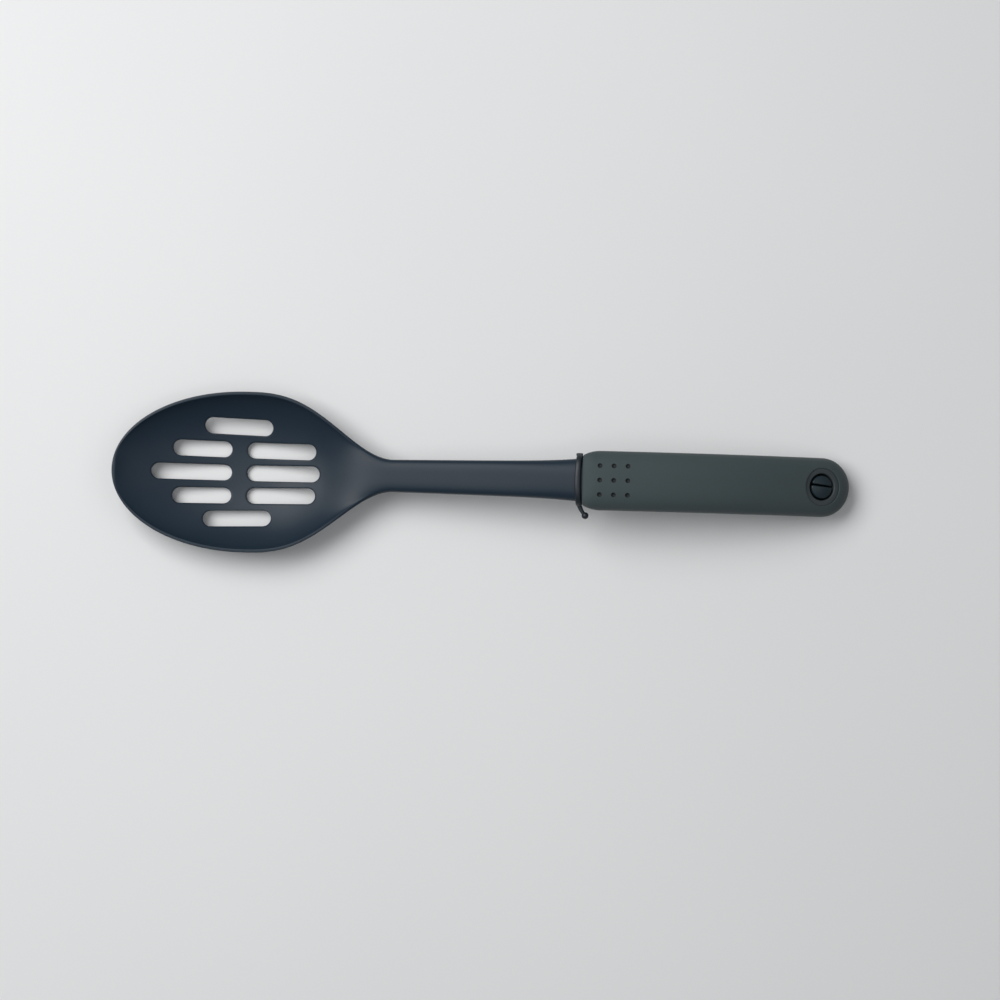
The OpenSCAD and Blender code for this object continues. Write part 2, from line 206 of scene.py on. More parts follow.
class Shell:
    """Points and faces of one piece, gathered surface by surface, in one closed body or several."""

    def __init__(self) -> None:
        """Starts with nothing in it."""
        self._points: list[Array] = []
        self._faces: list[Array] = []
        self._bodies: list[list[Array]] = []
        self._count = 0

    def add(self, points: Array) -> Array:
        """Takes points.

        Args:
            points: an array whose last axis holds x, y and z.
        Returns: the points' numbers, in the array's own layout.
        """
        flat = np.asarray(points, float).reshape(-1, 3)
        numbers = np.arange(self._count, self._count + len(flat))
        self._points.append(flat)
        self._count += len(flat)
        return numbers.reshape(np.shape(points)[:-1])

    def faces(self, corners: Array) -> None:
        """Takes faces as rows of point numbers."""
        self._faces.append(corners)

    def grid(self, numbers: Array, skip: Array | None = None) -> None:
        """Joins a grid of points with one face a cell.

        Args:
            numbers: the points' numbers, in rows.
            skip: true for each cell that is left open.
        """
        cells = columns(numbers[:-1, :-1], numbers[1:, :-1], numbers[1:, 1:], numbers[:-1, 1:])
        self.faces(cells.reshape(-1, 4) if skip is None else cells[~skip])

    def band(self, *rings: Array) -> None:
        """Joins closed rings of as many point numbers, one to the next."""
        self.grid(np.stack([np.append(ring, ring[0]) for ring in rings]))

    def fan(self, ring: Array, centre: Array) -> None:
        """Closes a ring of point numbers with triangles to a point at its centre."""
        self.faces(columns(ring, np.roll(ring, -1), self.add(centre)))

    def post(self, rings: Sequence[Array], first: Array, last: Array) -> None:
        """Joins rings of points, one to the next, and closes both ends.

        Args:
            rings: closed rings of as many points.
            first: the point that closes the first ring.
            last: the point that closes the last one.
        """
        laid = [self.add(ring) for ring in rings]
        self.band(*laid)
        self.fan(laid[0], first)
        self.fan(laid[-1], last)

    def close(self) -> None:
        """Ends one closed body; the faces that follow make another."""
        self._bodies.append(self._faces)
        self._faces = []

    def build(self, name: str) -> bpy.types.Object:
        """Makes the Blender object, with every closed body's faces turned outwards.

        Args:
            name: the piece's name.
        Returns: the object, at the origin, in the scene.
        """
        self.close()
        points = np.vstack(self._points) * MM
        mesh = bpy.data.meshes.new(name)
        whole = bmesh.new()
        for body in self._bodies:
            used = np.unique(np.concatenate([f.ravel() for f in body]))
            renumber = np.full(self._count, -1)
            renumber[used] = np.arange(len(used))
            rows = [row for f in body for row in renumber[f].tolist()]
            mesh.clear_geometry()
            mesh.from_pydata(points[used].tolist(), [], rows)
            work = bmesh.new()
            work.from_mesh(mesh)
            bmesh.ops.recalc_face_normals(work, faces=work.faces)
            if work.calc_volume(signed=True) < 0:
                bmesh.ops.reverse_faces(work, faces=work.faces)
            work.to_mesh(mesh)
            work.free()
            whole.from_mesh(mesh)
        whole.to_mesh(mesh)
        whole.free()
        mesh.shade_smooth()
        mesh.set_sharp_from_angle(angle=FLAT_ANGLE)
        piece = bpy.data.objects.new(name, mesh)
        bpy.context.scene.collection.objects.link(piece)
        return piece


@dataclass(frozen=True)
class Stance:
    """How the spoon lies, and the sizes that its pieces share.

    The neck is straight, the handle is one arc, and the hang hole lies just before the arc's end.
    """

    handle_start: float = 210.4
    handle_t: float = 15.0
    hang_inset: float = 2.5
    liner_d: float = 14.2
    neck_end_w: float = 19.6
    neck_end_t: float = 9.2

    @cached_property
    def total_len(self) -> float:
        """Returns: the spoon's length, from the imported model's box."""
        return (cad_box[1].x - cad_box[0].x) / MM

    @cached_property
    def neck_slope(self) -> float:
        """Returns: the angle at which the neck climbs, from the tie's slide axis, in radians."""
        slide = joint("tie_slide")["axis"]
        return math.atan2(-slide[2], -slide[0])

    @cached_property
    def hole(self) -> Array:
        """Returns: the middle of the hang hole, from the plug's hinge."""
        return np.array(joint("plug_turn")["pos_m"], float) / MM

    @cached_property
    def end_slope(self) -> float:
        """Returns: the angle at which the handle's end slopes down, in radians."""
        axis = joint("plug_turn")["axis"]
        return math.atan2(axis[0], axis[2])

    @cached_property
    def end(self) -> Array:
        """Returns: the arc's end, which is the middle of the handle's round end."""
        along = np.array([math.cos(self.end_slope), 0, -math.sin(self.end_slope)])
        return self.hole + self.hang_inset * along

    @cached_property
    def arc_r(self) -> float:
        """Returns: the radius of the handle's arc."""
        run = self.end[0] + self.total_len / 2 - self.handle_start
        return run / (math.sin(self.neck_slope) + math.sin(self.end_slope))

    @cached_property
    def arc_len(self) -> float:
        """Returns: the arc's length, from the handle's front to the middle of its round end."""
        return self.arc_r * (self.neck_slope + self.end_slope)

    @cached_property
    def centre(self) -> Array:
        """Returns: the arc's centre, as x and z."""
        out = np.array([math.sin(self.end_slope), math.cos(self.end_slope)])
        return self.end[[0, 2]] - self.arc_r * out

    def on_arc(self, run: Array, side: Array, lift: Array) -> Array:
        """Places points by their run along the arc, and past its end along its last direction.

        Args:
            run: distance from the handle's front along the arc.
            side: distance from the middle plane.
            lift: distance out from the arc.
        Returns: centre + (r + lift) * (sin a, cos a) with a = run / r - slope, plus what runs past the end.
        """
        angle = np.minimum(run, self.arc_len) / self.arc_r - self.neck_slope
        past = np.maximum(0, run - self.arc_len)
        x = self.centre[0] + (self.arc_r + lift) * np.sin(angle) + past * math.cos(self.end_slope)
        z = self.centre[1] + (self.arc_r + lift) * np.cos(angle) - past * math.sin(self.end_slope)
        return columns(x, side, z)

    def at_hole(self, along: Array, side: Array, up: Array) -> Array:
        """Returns: points given in the hang hole's frame, whose third axis is the hole's own."""
        return self._in_frame(self.hole, self.end_slope, along, side, up)

    def at_front(self, along: Array, side: Array, up: Array) -> Array:
        """Returns: points given in the frame of the handle's front face."""
        return self._in_frame(self.on_arc(0, 0, 0), -self.neck_slope, along, side, up)

    @staticmethod
    def _in_frame(origin: Array, slope: float, along: Array, side: Array, up: Array) -> Array:
        """Returns: points of a frame at an origin, turned down by a slope about +Y."""
        x = origin[0] + along * math.cos(slope) + up * math.sin(slope)
        z = origin[2] - along * math.sin(slope) + up * math.cos(slope)
        return columns(x, origin[1] + side, z)


@dataclass(frozen=True)
class Slot:
    """One round-ended opening on a plan, or a round one where it is as long as it is wide."""

    length: float
    width: float
    middle: tuple[float, float]
    lean: float = 0.0
    side_step: float = 1.1

    def outline(self, offset: float, round_steps: int = 16) -> Array:
        """Outline at an offset: two half circles of radius width/2 + offset, and the sides between them.

        Args:
            offset: distance outside the opening's own edge.
            round_steps: steps round each end.
        Returns: plan points in order round the opening.
        """
        half, radius = (self.length - self.width) / 2, self.width / 2 + offset
        right = [half, 0] + radius * circle(np.linspace(-math.pi / 2, math.pi / 2, round_steps + 1))
        if half > 0:
            steps = max(2, round(2 * half / self.side_step))
            right = np.vstack([right, columns(np.linspace(half, -half, steps + 1)[1:-1], radius)])
        else:
            right = right[:-1]
        c, s = math.cos(self.lean), math.sin(self.lean)
        return np.array(self.middle) + np.vstack([right, -right]) @ np.array([[c, s], [-s, c]])

    def distance(self, s: Array, y: Array) -> Array:
        """Measures from the opening's edge.

        Args:
            s: the plan points' distances from the tip or the handle's front.
            y: their distances from the middle plane.
        Returns: each point's distance outside the edge, negative within it.
        """
        c, k = math.cos(self.lean), math.sin(self.lean)
        ds, dy = s - self.middle[0], y - self.middle[1]
        over = np.maximum(0, np.abs(ds * c + dy * k) - (self.length - self.width) / 2)
        return np.hypot(over, dy * c - ds * k) - self.width / 2


def edge_and_rest(s: Array, y: Array, slots: Sequence[Slot], margin: float) -> tuple[Array, Array]:
    """Sorts a grid's points for a plan that is pierced.

    Args:
        s: the grid's first coordinates.
        y: its second ones.
        slots: the openings.
        margin: how far the points between them stay from an opening's edge.
    Returns: the numbers of the outermost points, in order round the grid, and of those between.
    """
    clear = np.min([slot.distance(s, y) for slot in slots], axis=0) > margin
    clear[[0, -1], :] = clear[:, [0, -1]] = False
    n = np.arange(s.size).reshape(s.shape)
    return np.concatenate([n[:-1, 0], n[-1, :-1], n[:0:-1, -1], n[0, :0:-1]]), n[clear]


@dataclass(frozen=True)
class Head:
    """The nylon moulding: a slotted bowl that runs through its throat into the neck, with its tang."""

    stance: Stance
    bowl_len: float = 60.0
    rim_h: float = 15.6
    rim_rise: float = 0.9
    floor_t: float = 2.6
    rim_w: float = 1.5
    rim_round: float = 0.6
    rim_soft: float = 0.012
    foot_cut: float = 0.25
    throat_len: float = 66.0
    neck_w: float = 14.4
    neck_taper_w: float = 17.0
    neck_t: float = 6.8
    slot_w: float = 7.1
    slot_edge: float = 0.5
    row_pitch: float = 10.3
    bridge_at: float = 56.2
    bridge_w: float = 6.9
    row_lean: float = math.radians(0.8)
    mid_lens: tuple[float, float] = (35.8, 32.9)
    next_lens: tuple[float, float] = (26.3, 31.1)
    outer_len: float = 30.5
    outer_back: float = 0.4
    tang_w: float = 12.0
    tang_t: float = 4.6
    tang_short: float = 27.2
    tang_edge: float = 0.4
    key_d: float = 5.0
    key_shares: tuple[float, ...] = (1 / 3, 2 / 3)
    # Powers of the outline's and the sections' curves.
    tip_power: float = 2.06
    throat_power: float = 1.34
    flare_power: float = 7.0
    bar_power: float = 2.6
    flat_power: float = 3.6
    floor_power: float = 2.2
    slope_power: float = 1.35
    depth_power: float = 1.4
    blend_from: float = 0.5
    # How finely the surfaces are divided.
    tip_steps: int = 60
    throat_steps: int = 60
    neck_steps: int = 56
    rim_steps: int = 14
    rim_crowd: float = 3.0
    floor_steps: int = 26
    plan_stretch: float = 1.9
    patch_side: int = 16
    patch_ahead: float = 2.5
    slot_rings: tuple[float, ...] = (0, 0.04, 0.14, 0.3, 0.55, 1.0, 1.7)
    slot_margin: float = 0.45
    tang_steps: tuple[int, int, int] = (50, 10, 5)
    key_margin: float = 0.4

    @cached_property
    def bowl_w(self) -> float:
        """Returns: the bowl's width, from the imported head's box."""
        return width_of("spoon_head")

    @cached_property
    def neck_s(self) -> float:
        """Returns: the distance from the tip to the neck's narrowest place."""
        return self.bowl_len + self.throat_len

    @cached_property
    def tang_len(self) -> float:
        """Returns: the tang's length along the handle's arc, which ends before the hang hole's liner."""
        return self.stance.arc_len - self.stance.hang_inset - self.stance.liner_d / 2 - self.tang_short

    def throat_share(self, s: Array) -> Array:
        """Returns: how far a station is through the throat, from 0 to 1."""
        return np.clip((s - self.bowl_len) / self.throat_len, 0, 1)

    def neck_share(self, s: Array) -> Array:
        """Returns: how far a station is along the neck, from 0 to 1."""
        return np.maximum(0, (s - self.neck_s) / (self.stance.handle_start - self.neck_s))

    def blend(self, s: Array) -> Array:
        """Returns: 0 where the section is the bowl's, 1 where it is the neck's."""
        return smooth_step((self.throat_share(s) - self.blend_from) / (1 - self.blend_from))

    def half_w(self, s: Array) -> Array:
        """Half the width.

        Args:
            s: distance from the tip.
        Returns: a near-ellipse to the widest place, a cosine fall to the neck, then an even taper that
            flares at the handle.
        """
        ahead = np.maximum(0, 1 - s / self.bowl_len)
        tip = self.bowl_w / 2 * np.sqrt(np.maximum(0, 1 - ahead ** self.tip_power))
        fall = (1 + np.cos(np.pi * self.throat_share(s) ** self.throat_power)) / 2
        share = self.neck_share(s)
        taper = (self.neck_taper_w - self.neck_w) / 2 * share
        flare = (self.stance.neck_end_w - self.neck_taper_w) / 2 * share ** self.flare_power
        return np.where(s < self.bowl_len, tip, mix(self.neck_w, self.bowl_w, fall) / 2 + taper + flare)

    def bowl_depth(self, s: Array) -> Array:
        """Returns: depth of the bowl's underside below its rim, which follows its width."""
        share = 2 * self.half_w(s) / self.bowl_w
        return (self.rim_h + self.foot_cut) * share ** self.depth_power

    def edge_z(self, s: Array) -> Array:
        """Returns: height of the widest line: the rim's, blended into the neck's middle."""
        rim = self.rim_h + self.rim_rise * (s - self.bowl_len) / self.throat_len
        fall = (self.stance.handle_start - s) * math.tan(self.stance.neck_slope)
        return mix(rim, self.stance.on_arc(0, 0, 0)[2] - fall, self.blend(s))

    def neck_half_t(self, s: Array) -> Array:
        """Returns: half the neck's thickness."""
        return mix(self.neck_t, self.stance.neck_end_t, self.neck_share(s)) / 2

    def side_powers(self, s: Array) -> tuple[Array, Array]:
        """Returns: the two powers of the section's curve: the bowl's slope, blended into the bar's."""
        share = self.blend(s)
        return mix(self.floor_power, self.bar_power, share), mix(self.slope_power, self.bar_power, share)

    def top_z(self, s: Array, y: Array) -> Array:
        """Height of the upper surface over the widest line.

        Args:
            s: distance from the tip.
            y: distance from the middle plane.
        Returns: the dome over the rim or the neck, less the bowl's hollow, whose edge is softened.
        """
        half, share = self.half_w(s), self.blend(s)
        dome = mix(self.rim_round * np.minimum(1, half / self.rim_w), self.neck_half_t(s), share)
        hollow = (1 - share) * np.maximum(0, self.bowl_depth(s) - self.floor_t + self.rim_round)
        power, root = self.side_powers(s)
        reach = np.abs(y) / np.maximum(self.rim_w / 2, half - self.rim_w)
        within = 1 - reach ** power
        within = (within + np.sqrt(within ** 2 + self.rim_soft ** 2)) / 2
        flatter = share * smooth_step(2 * (1 - self.neck_share(s)))
        bar = mix(self.bar_power, self.flat_power, flatter)
        crown = oval_height(np.abs(y) / np.maximum(half, TINY), bar, bar)
        return dome * crown - hollow * within ** (1 / root)

    def under_z(self, s: Array, y: Array) -> Array:
        """Returns: height of the underside over the widest line, a rounded outline turned down."""
        depth = mix(self.bowl_depth(s), self.neck_half_t(s), self.blend(s))
        return -depth * oval_height(np.abs(y) / self.half_w(s), *self.side_powers(s))

    def surface(self, side: Side, s: Array, y: Array, drop: float = 0.0) -> Array:
        """Points of the upper surface or the underside.

        Args:
            side: which of the two.
            s: distance from the tip.
            y: distance from the middle plane.
            drop: how far an edge's round takes the surface back.
        Returns: the points, no lower than the table.
        """
        local = self.top_z(s, y) - drop if side is Side.TOP else self.under_z(s, y) + drop
        x = s - local * math.tan(self.stance.neck_slope) * self.blend(s) - self.stance.total_len / 2
        return columns(x, y, np.maximum(0, self.edge_z(s) + local))

    @cached_property
    def stations(self) -> Array:
        """Returns: distances from the tip, in steps that shrink towards it."""
        angles = np.radians(90 / self.tip_steps * np.arange(1, self.tip_steps + 1))
        throat = np.linspace(0, self.throat_len, self.throat_steps + 1)[1:]
        neck = np.linspace(self.neck_s, self.stance.handle_start, self.neck_steps + 1)[1:]
        return np.concatenate([self.bowl_len * (1 - np.cos(angles)), self.bowl_len + throat, neck])

    def across(self, s: Array) -> Array:
        """Spreads points over the width.

        Args:
            s: distances from the tip.
        Returns: each station's distances from the middle plane, close together at both edges of the rim.
        """
        half = self.half_w(s)[:, None]
        inner = np.maximum(half / 2, half - self.rim_w)
        rim = np.sin(np.pi / 2 * np.linspace(0, 1, self.rim_steps + 1)) ** self.rim_crowd
        floor = np.sin(np.pi / 2 * np.linspace(1, 0, self.floor_steps + 1)[1:])
        right = np.hstack([half - (half - inner) * rim, inner * floor])
        return np.hstack([-right, right[:, -2::-1]])

    def even_plan(self, s: Array, y: Array) -> Array:
        """Stretches the plan so that the grid's cells are near square, for filling it with triangles.

        Args:
            s: distance from the tip.
            y: distance from the middle plane.
        Returns: the arc cosine of s along the bowl and the arc sine of y across it, as the grid is spaced.
        """
        ahead = np.clip(1 - s / self.bowl_len, -1, 1)
        run = np.where(s < self.bowl_len, self.bowl_len * np.arccos(ahead),
                       self.bowl_len * np.pi / 2 + s - self.bowl_len)
        turn = np.arcsin(np.clip(y / (self.half_w(s) - self.rim_w), -1, 1)) * 2 / np.pi
        return columns(run, turn * self.floor_steps * self.plan_stretch)

    def slots(self) -> list[Slot]:
        """Returns: the eight slots, in rows that lean about the bridge."""
        made = []
        for row in range(-2, 3):
            lean = -row * self.row_lean
            pivot = np.array([self.bridge_at, row * self.row_pitch])
            along = np.array([math.cos(lean), math.sin(lean)])
            if abs(row) == 2:
                made.append(Slot(self.outer_len, self.slot_w, tuple(pivot - self.outer_back * along), lean))
                continue
            for way, length in zip((-1, 1), self.mid_lens if row == 0 else self.next_lens):
                middle = pivot + way * (self.bridge_w + length) / 2 * along
                made.append(Slot(length, self.slot_w, tuple(middle), lean))
        return made

    def build(self) -> bpy.types.Object:
        """Returns: the head as one closed moulding, with the tang as a second one inside the handle."""
        shell = Shell()
        y = self.across(self.stations)
        s = np.repeat(self.stations[:, None], y.shape[1], 1)
        top, under = [shell.add(self.surface(side, s, y)) for side in Side]
        under[:, 0], under[:, -1] = top[:, 0], top[:, -1]
        slots = self.slots()
        starts = min(slot.middle[0] - slot.length / 2 for slot in slots) - self.patch_ahead
        ends = max(slot.middle[0] + slot.length / 2 for slot in slots) + self.patch_ahead
        first, last = np.searchsorted(self.stations, [starts, ends])
        low, high = y.shape[1] // 2 + np.array([-1, 1]) * self.patch_side
        patch = (slice(first, last + 1), slice(low, high + 1))
        open_cells = np.zeros((len(top) - 1, top.shape[1] - 1), bool)
        open_cells[first:last, low:high] = True
        for numbers in (top, under):
            shell.grid(numbers, open_cells)
        self._pierce(shell, s[patch], y[patch], [top[patch], under[patch]], slots)
        for row, centre in ((0, self.surface(Side.TOP, 0.0, 0.0)), (-1, self.stance.at_front(0, 0, 0))):
            shell.fan(np.concatenate([under[row, :-1], top[row, :0:-1]]), centre)
        shell.close()
        self._tang(shell)
        return shell.build("spoon_head_moulding")

    def _pierce(self, shell: Shell, s: Array, y: Array, numbers: Sequence[Array],
                slots: Sequence[Slot]) -> None:
        """Fills the slotted part of the floor, with a rounded edge round each slot, and its walls.

        Args:
            shell: what the faces go into.
            s: the patch's distances from the tip.
            y: its distances from the middle plane.
            numbers: the point numbers there, above and below.
            slots: the slots.
        """
        offsets = self.slot_edge * np.array(self.slot_rings)
        edge, rest = edge_and_rest(s, y, slots, offsets[-1] + self.slot_margin)
        plan = self.even_plan(s.ravel(), y.ravel())
        outlines = [[slot.outline(offset) for offset in offsets] for slot in slots]
        corners = pierced(plan[edge], plan[rest], [self.even_plan(*rings[-1].T) for rings in outlines])
        rims = []
        for side, own in zip(Side, numbers):
            laid = [
                [shell.add(self.surface(side, *ring.T, edge_drop(offset, self.slot_edge)))
                 for ring, offset in zip(rings, offsets)]
                for rings in outlines
            ]
            for rings in laid:
                shell.band(*rings)
            around = [rings[-1] for rings in laid]
            shell.faces(np.concatenate([own.ravel()[edge], own.ravel()[rest], *around])[corners])
            rims.append([rings[0] for rings in laid])
        for upper, lower in zip(*rims):
            shell.band(upper, lower)

    def _tang(self, shell: Shell) -> None:
        """Adds the tang: a plate along the handle's arc, with rounded edges and two keying holes.

        Args:
            shell: what the faces go into.
        """
        long_steps, side_steps, round_steps = self.tang_steps
        flat_w = self.tang_w / 2 - self.tang_edge
        along, across = np.meshgrid(np.linspace(-self.tang_t / 4, self.tang_len, long_steps),
                                    np.linspace(-1, 1, side_steps) * flat_w, indexing="ij")
        keys = [Slot(self.key_d, self.key_d, (self.tang_len * share, 0.0)) for share in self.key_shares]
        edge, rest = edge_and_rest(along, across, keys, self.key_margin)
        plan = columns(along.ravel(), across.ravel())
        border, rims = plan[edge], [key.outline(0) for key in keys]
        corners = pierced(border, plan[rest], rims)
        flat = np.vstack([border, plan[rest], *rims])
        from_middle = border - [self.tang_len / 2, 0]
        outward = np.sign(from_middle) * (np.abs(from_middle) >= [self.tang_len / 2, flat_w])
        walls, holes = [], []
        for way in (1, -1):
            laid = shell.add(self.stance.on_arc(*flat.T, way * self.tang_t / 2))
            shell.faces(laid[corners])
            rounds = [laid[:len(border)]]
            for a in np.linspace(0, math.pi / 2, round_steps)[1:]:
                plate = border + outward * self.tang_edge * math.sin(a)
                lift = way * (self.tang_t / 2 - self.tang_edge * (1 - math.cos(a)))
                rounds.append(shell.add(self.stance.on_arc(*plate.T, lift)))
            shell.band(*rounds)
            walls.append(rounds[-1])
            holes.append(np.split(laid[len(edge) + len(rest):], len(rims)))
        for upper, lower in (walls, *zip(*holes)):
            shell.band(upper, lower)


@dataclass(frozen=True)
class Grip:
    """The soft skin over the handle: an oval bar on the arc, with a rounded front and a round end."""

    stance: Stance
    skin_t: float = 1.8
    nose_w: float = 22.4
    nose_t: float = 12.6
    nose_len: float = 7.5
    nose_edge: float = 0.6
    nose_power: float = 4.0
    power: float = 2.6
    squeeze_from: float = 9.2
    hole_r: float = 8.45
    hole_edge: float = 0.28
    dimple_d: float = 2.1
    dimple_depth: float = 1.0
    dimple_soft: float = 0.05
    dimple_pitch_x: float = 6.0
    dimple_pitch_y: float = 6.4
    dimple_from: float = 7.6
    # How far the painted shade in the dimples reaches up and down, and how softly it fades at their mouths.
    pit_shade_reach: float = 1.3
    pit_shade_fade: float = 0.12
    straight_from: float = 30.0
    straight_by: float = 15.0
    # How finely the surfaces are divided.
    middle_share: float = 0.856
    edge_steps: int = 12
    edge_crowd: float = 3.0
    lip_shares: tuple[float, ...] = (0, 0.05, 0.18, 0.4, 0.7)
    lip_margin: float = 0.15
    nose_steps: int = 11
    nose_crowd: float = 1.3
    body_steps: int = 69
    end_steps: int = 36
    front_steps: int = 17
    end_step: float = 1.4
    end_margin: float = 0.7
    hole_rings: tuple[float, ...] = (0, 0.06, 0.2, 0.45, 1, 2, 3.4)
    hole_steps: int = 36
    hole_margin: float = 0.6
    dimple_rings: tuple[float, ...] = (0, 0.012, 0.04, 0.12, 0.28, 0.5)
    dimple_angles: tuple[float, ...] = (84, 76, 66, 52, 36, 18)
    dimple_steps: int = 12
    dimple_margin: float = 0.35

    @cached_property
    def half_w(self) -> float:
        """Returns: half the handle's width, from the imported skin's box."""
        return width_of("grip_skin") / 2

    def nose(self, run: Array, start: float, full: float) -> Array:
        """Returns: a half size, start/2 rising to full/2 by 1 - (1 - t)^2, with its front edge rounded."""
        share = np.clip(run / self.nose_len, 0, 1)
        return mix(start / 2, full / 2, 1 - (1 - share) ** 2) - edge_drop(run, self.nose_edge)

    def round_power(self, run: Array) -> Array:
        """Returns: the section's power, which makes the front face squarer than the handle."""
        return mix(self.nose_power, self.power, smooth_step(run / self.nose_len))

    def surface(self, side: Side, layer: Layer, plan: Array, drop: float = 0.0) -> Array:
        """Points of the skin over its plan.

        Args:
            side: upper or lower surface.
            layer: the skin's outer or inner face.
            plan: (run from the front, distance from the middle plane), as if the handle were straight
                and had its full width all along; past the arc's end the handle is round.
            drop: how far an edge's round takes the surface back.
        Returns: lift = T (1 - (rho/W)^p)^(1/p), laid square to the arc, or square to the hole's face
            near the hole, and no lower than the table.
        """
        skin = self.skin_t if layer is Layer.INNER else 0.0
        run, across = plan[..., 0], plan[..., 1]
        past = np.maximum(0, run - self.stance.arc_len)
        reach = np.hypot(past, across)
        held = self._squeeze(reach) if layer is Layer.INNER else reach
        scale = held / np.maximum(reach, TINY)
        half_w = self.nose(run, self.nose_w, 2 * self.half_w) - skin
        half_t = self.nose(run, self.nose_t, self.stance.handle_t) - skin
        power = self.round_power(run)
        lift = (half_t * oval_height(held / (self.half_w - skin), power, power) - drop) * side.value
        width = across * scale * half_w / (self.half_w - skin)
        short = np.minimum(0, run - self.stance.arc_len)
        tilted = self.stance.arc_r * np.arcsin(short / (self.stance.arc_r + lift))
        near = smooth_step((self.straight_from + short) / self.straight_by)
        laid = self.stance.arc_len + mix(short, tilted, near) + past * scale
        points = self.stance.on_arc(laid, width, lift)
        points[..., 2] = np.maximum(0, points[..., 2])
        return points

    def _squeeze(self, reach: Array) -> Array:
        """Returns: the inner face's reach: the same near the hole, and drawn in by the skin at the side."""
        beyond = np.maximum(0, reach - self.squeeze_from)
        room = (self.half_w - self.skin_t - self.squeeze_from) / (self.half_w - self.squeeze_from)
        return np.minimum(reach, self.squeeze_from) + beyond * room

    def dimple_drop(self, distance: Array) -> Array:
        """Depth of a dimple.

        Args:
            distance: distance from its middle.
        Returns: a ball's cap sqrt(r^2 - d^2) - (r - depth), softened at its mouth.
        """
        radius = ((self.dimple_d / 2) ** 2 + self.dimple_depth ** 2) / (2 * self.dimple_depth)
        cap = np.sqrt(np.maximum(0, radius ** 2 - distance ** 2)) - (radius - self.dimple_depth)
        cap = cap - 2 * np.maximum(0, distance - radius)
        return (cap + np.sqrt(cap ** 2 + self.dimple_soft ** 2)) / 2

    def dimples(self) -> list[Slot]:
        """Returns: the nine dimples' mouths on the plan."""
        return [
            Slot(self.dimple_d, self.dimple_d,
                 (self.dimple_from + i * self.dimple_pitch_x, j * self.dimple_pitch_y))
            for i in range(3)
            for j in range(-1, 2)
        ]

    def build(self) -> bpy.types.Object:
        """Returns: the skin as one closed shell, outer face, inner face, front lip and hole walls."""
        shell = Shell()
        fronts, rims = [], []
        for layer in Layer:
            outline, upper, upper_rim = self._sheet(shell, Side.TOP, layer, None)
            _, lower, lower_rim = self._sheet(shell, Side.UNDER, layer, outline)
            fronts.append(np.concatenate([upper, lower[-2:0:-1]]))
            rims.append([upper_rim, lower_rim])
        for outer, inner in (*zip(*rims), fronts):
            shell.band(outer, inner)
        piece = shell.build("grip_skin_soft")
        self._mark_pit_shade(piece)
        return piece

    def _mark_pit_shade(self, piece: bpy.types.Object) -> None:
        """Marks the dimples for painted shade: an attribute that is 1 inside and fades out at their mouths,
        where the finish darkens the colour.

        Args:
            piece: the skin.
        """
        points = np.empty(3 * len(piece.data.vertices))
        piece.data.vertices.foreach_get("co", points)
        mouths = self.surface(Side.TOP, Layer.OUTER, np.array([pit.middle for pit in self.dimples()]))
        away = points.reshape(-1, 1, 3) / MM - mouths
        plan = np.where(np.abs(away[..., 2]) < self.pit_shade_reach, np.hypot(away[..., 0], away[..., 1]), np.inf)
        share = smooth_step((self.dimple_d / 2 + self.pit_shade_fade / 2 - plan.min(axis=1)) / self.pit_shade_fade)
        piece.data.attributes.new(PIT_SHADE_MARK, "FLOAT", "POINT").data.foreach_set("value", share)

    def _path(self) -> tuple[Array, Array]:
        """Returns: the outline's feet on the middle line, and the way from each foot to the edge."""
        lip = self.nose_edge * np.array(self.lip_shares)
        nose = self.nose_len * np.linspace(0, 1, self.nose_steps + 1) ** self.nose_crowd
        body = np.linspace(self.nose_len, self.stance.arc_len, self.body_steps + 1)[1:]
        run = np.concatenate([lip, nose[nose > lip[-1] + self.lip_margin], body])
        turn = np.linspace(-math.pi / 2, math.pi / 2, self.end_steps + 1)
        feet = np.concatenate([run[:-1], np.full(len(turn), self.stance.arc_len), run[-2::-1]])
        sides = np.tile([0.0, 1.0], (len(run) - 1, 1))
        return feet, np.vstack([-sides, circle(turn), sides])

    def _sheet(self, shell: Shell, side: Side, layer: Layer, outline: Array | None
               ) -> tuple[Array, Array, Array]:
        """Lays one face of the skin: a middle with its hole and dimples, and bands out to the outline.

        Args:
            shell: what the faces go into.
            side: upper or lower surface.
            layer: the skin's outer or inner face.
            outline: the outline's point numbers where the other side has laid them.
        Returns: the numbers of the outline, of the front edge from side to side, and of the hole's rim.
        """
        def lay(plan: Array, drop: float = 0.0) -> Array:
            """Returns: the numbers of the plan's points on this face."""
            return shell.add(self.surface(side, layer, plan, drop))

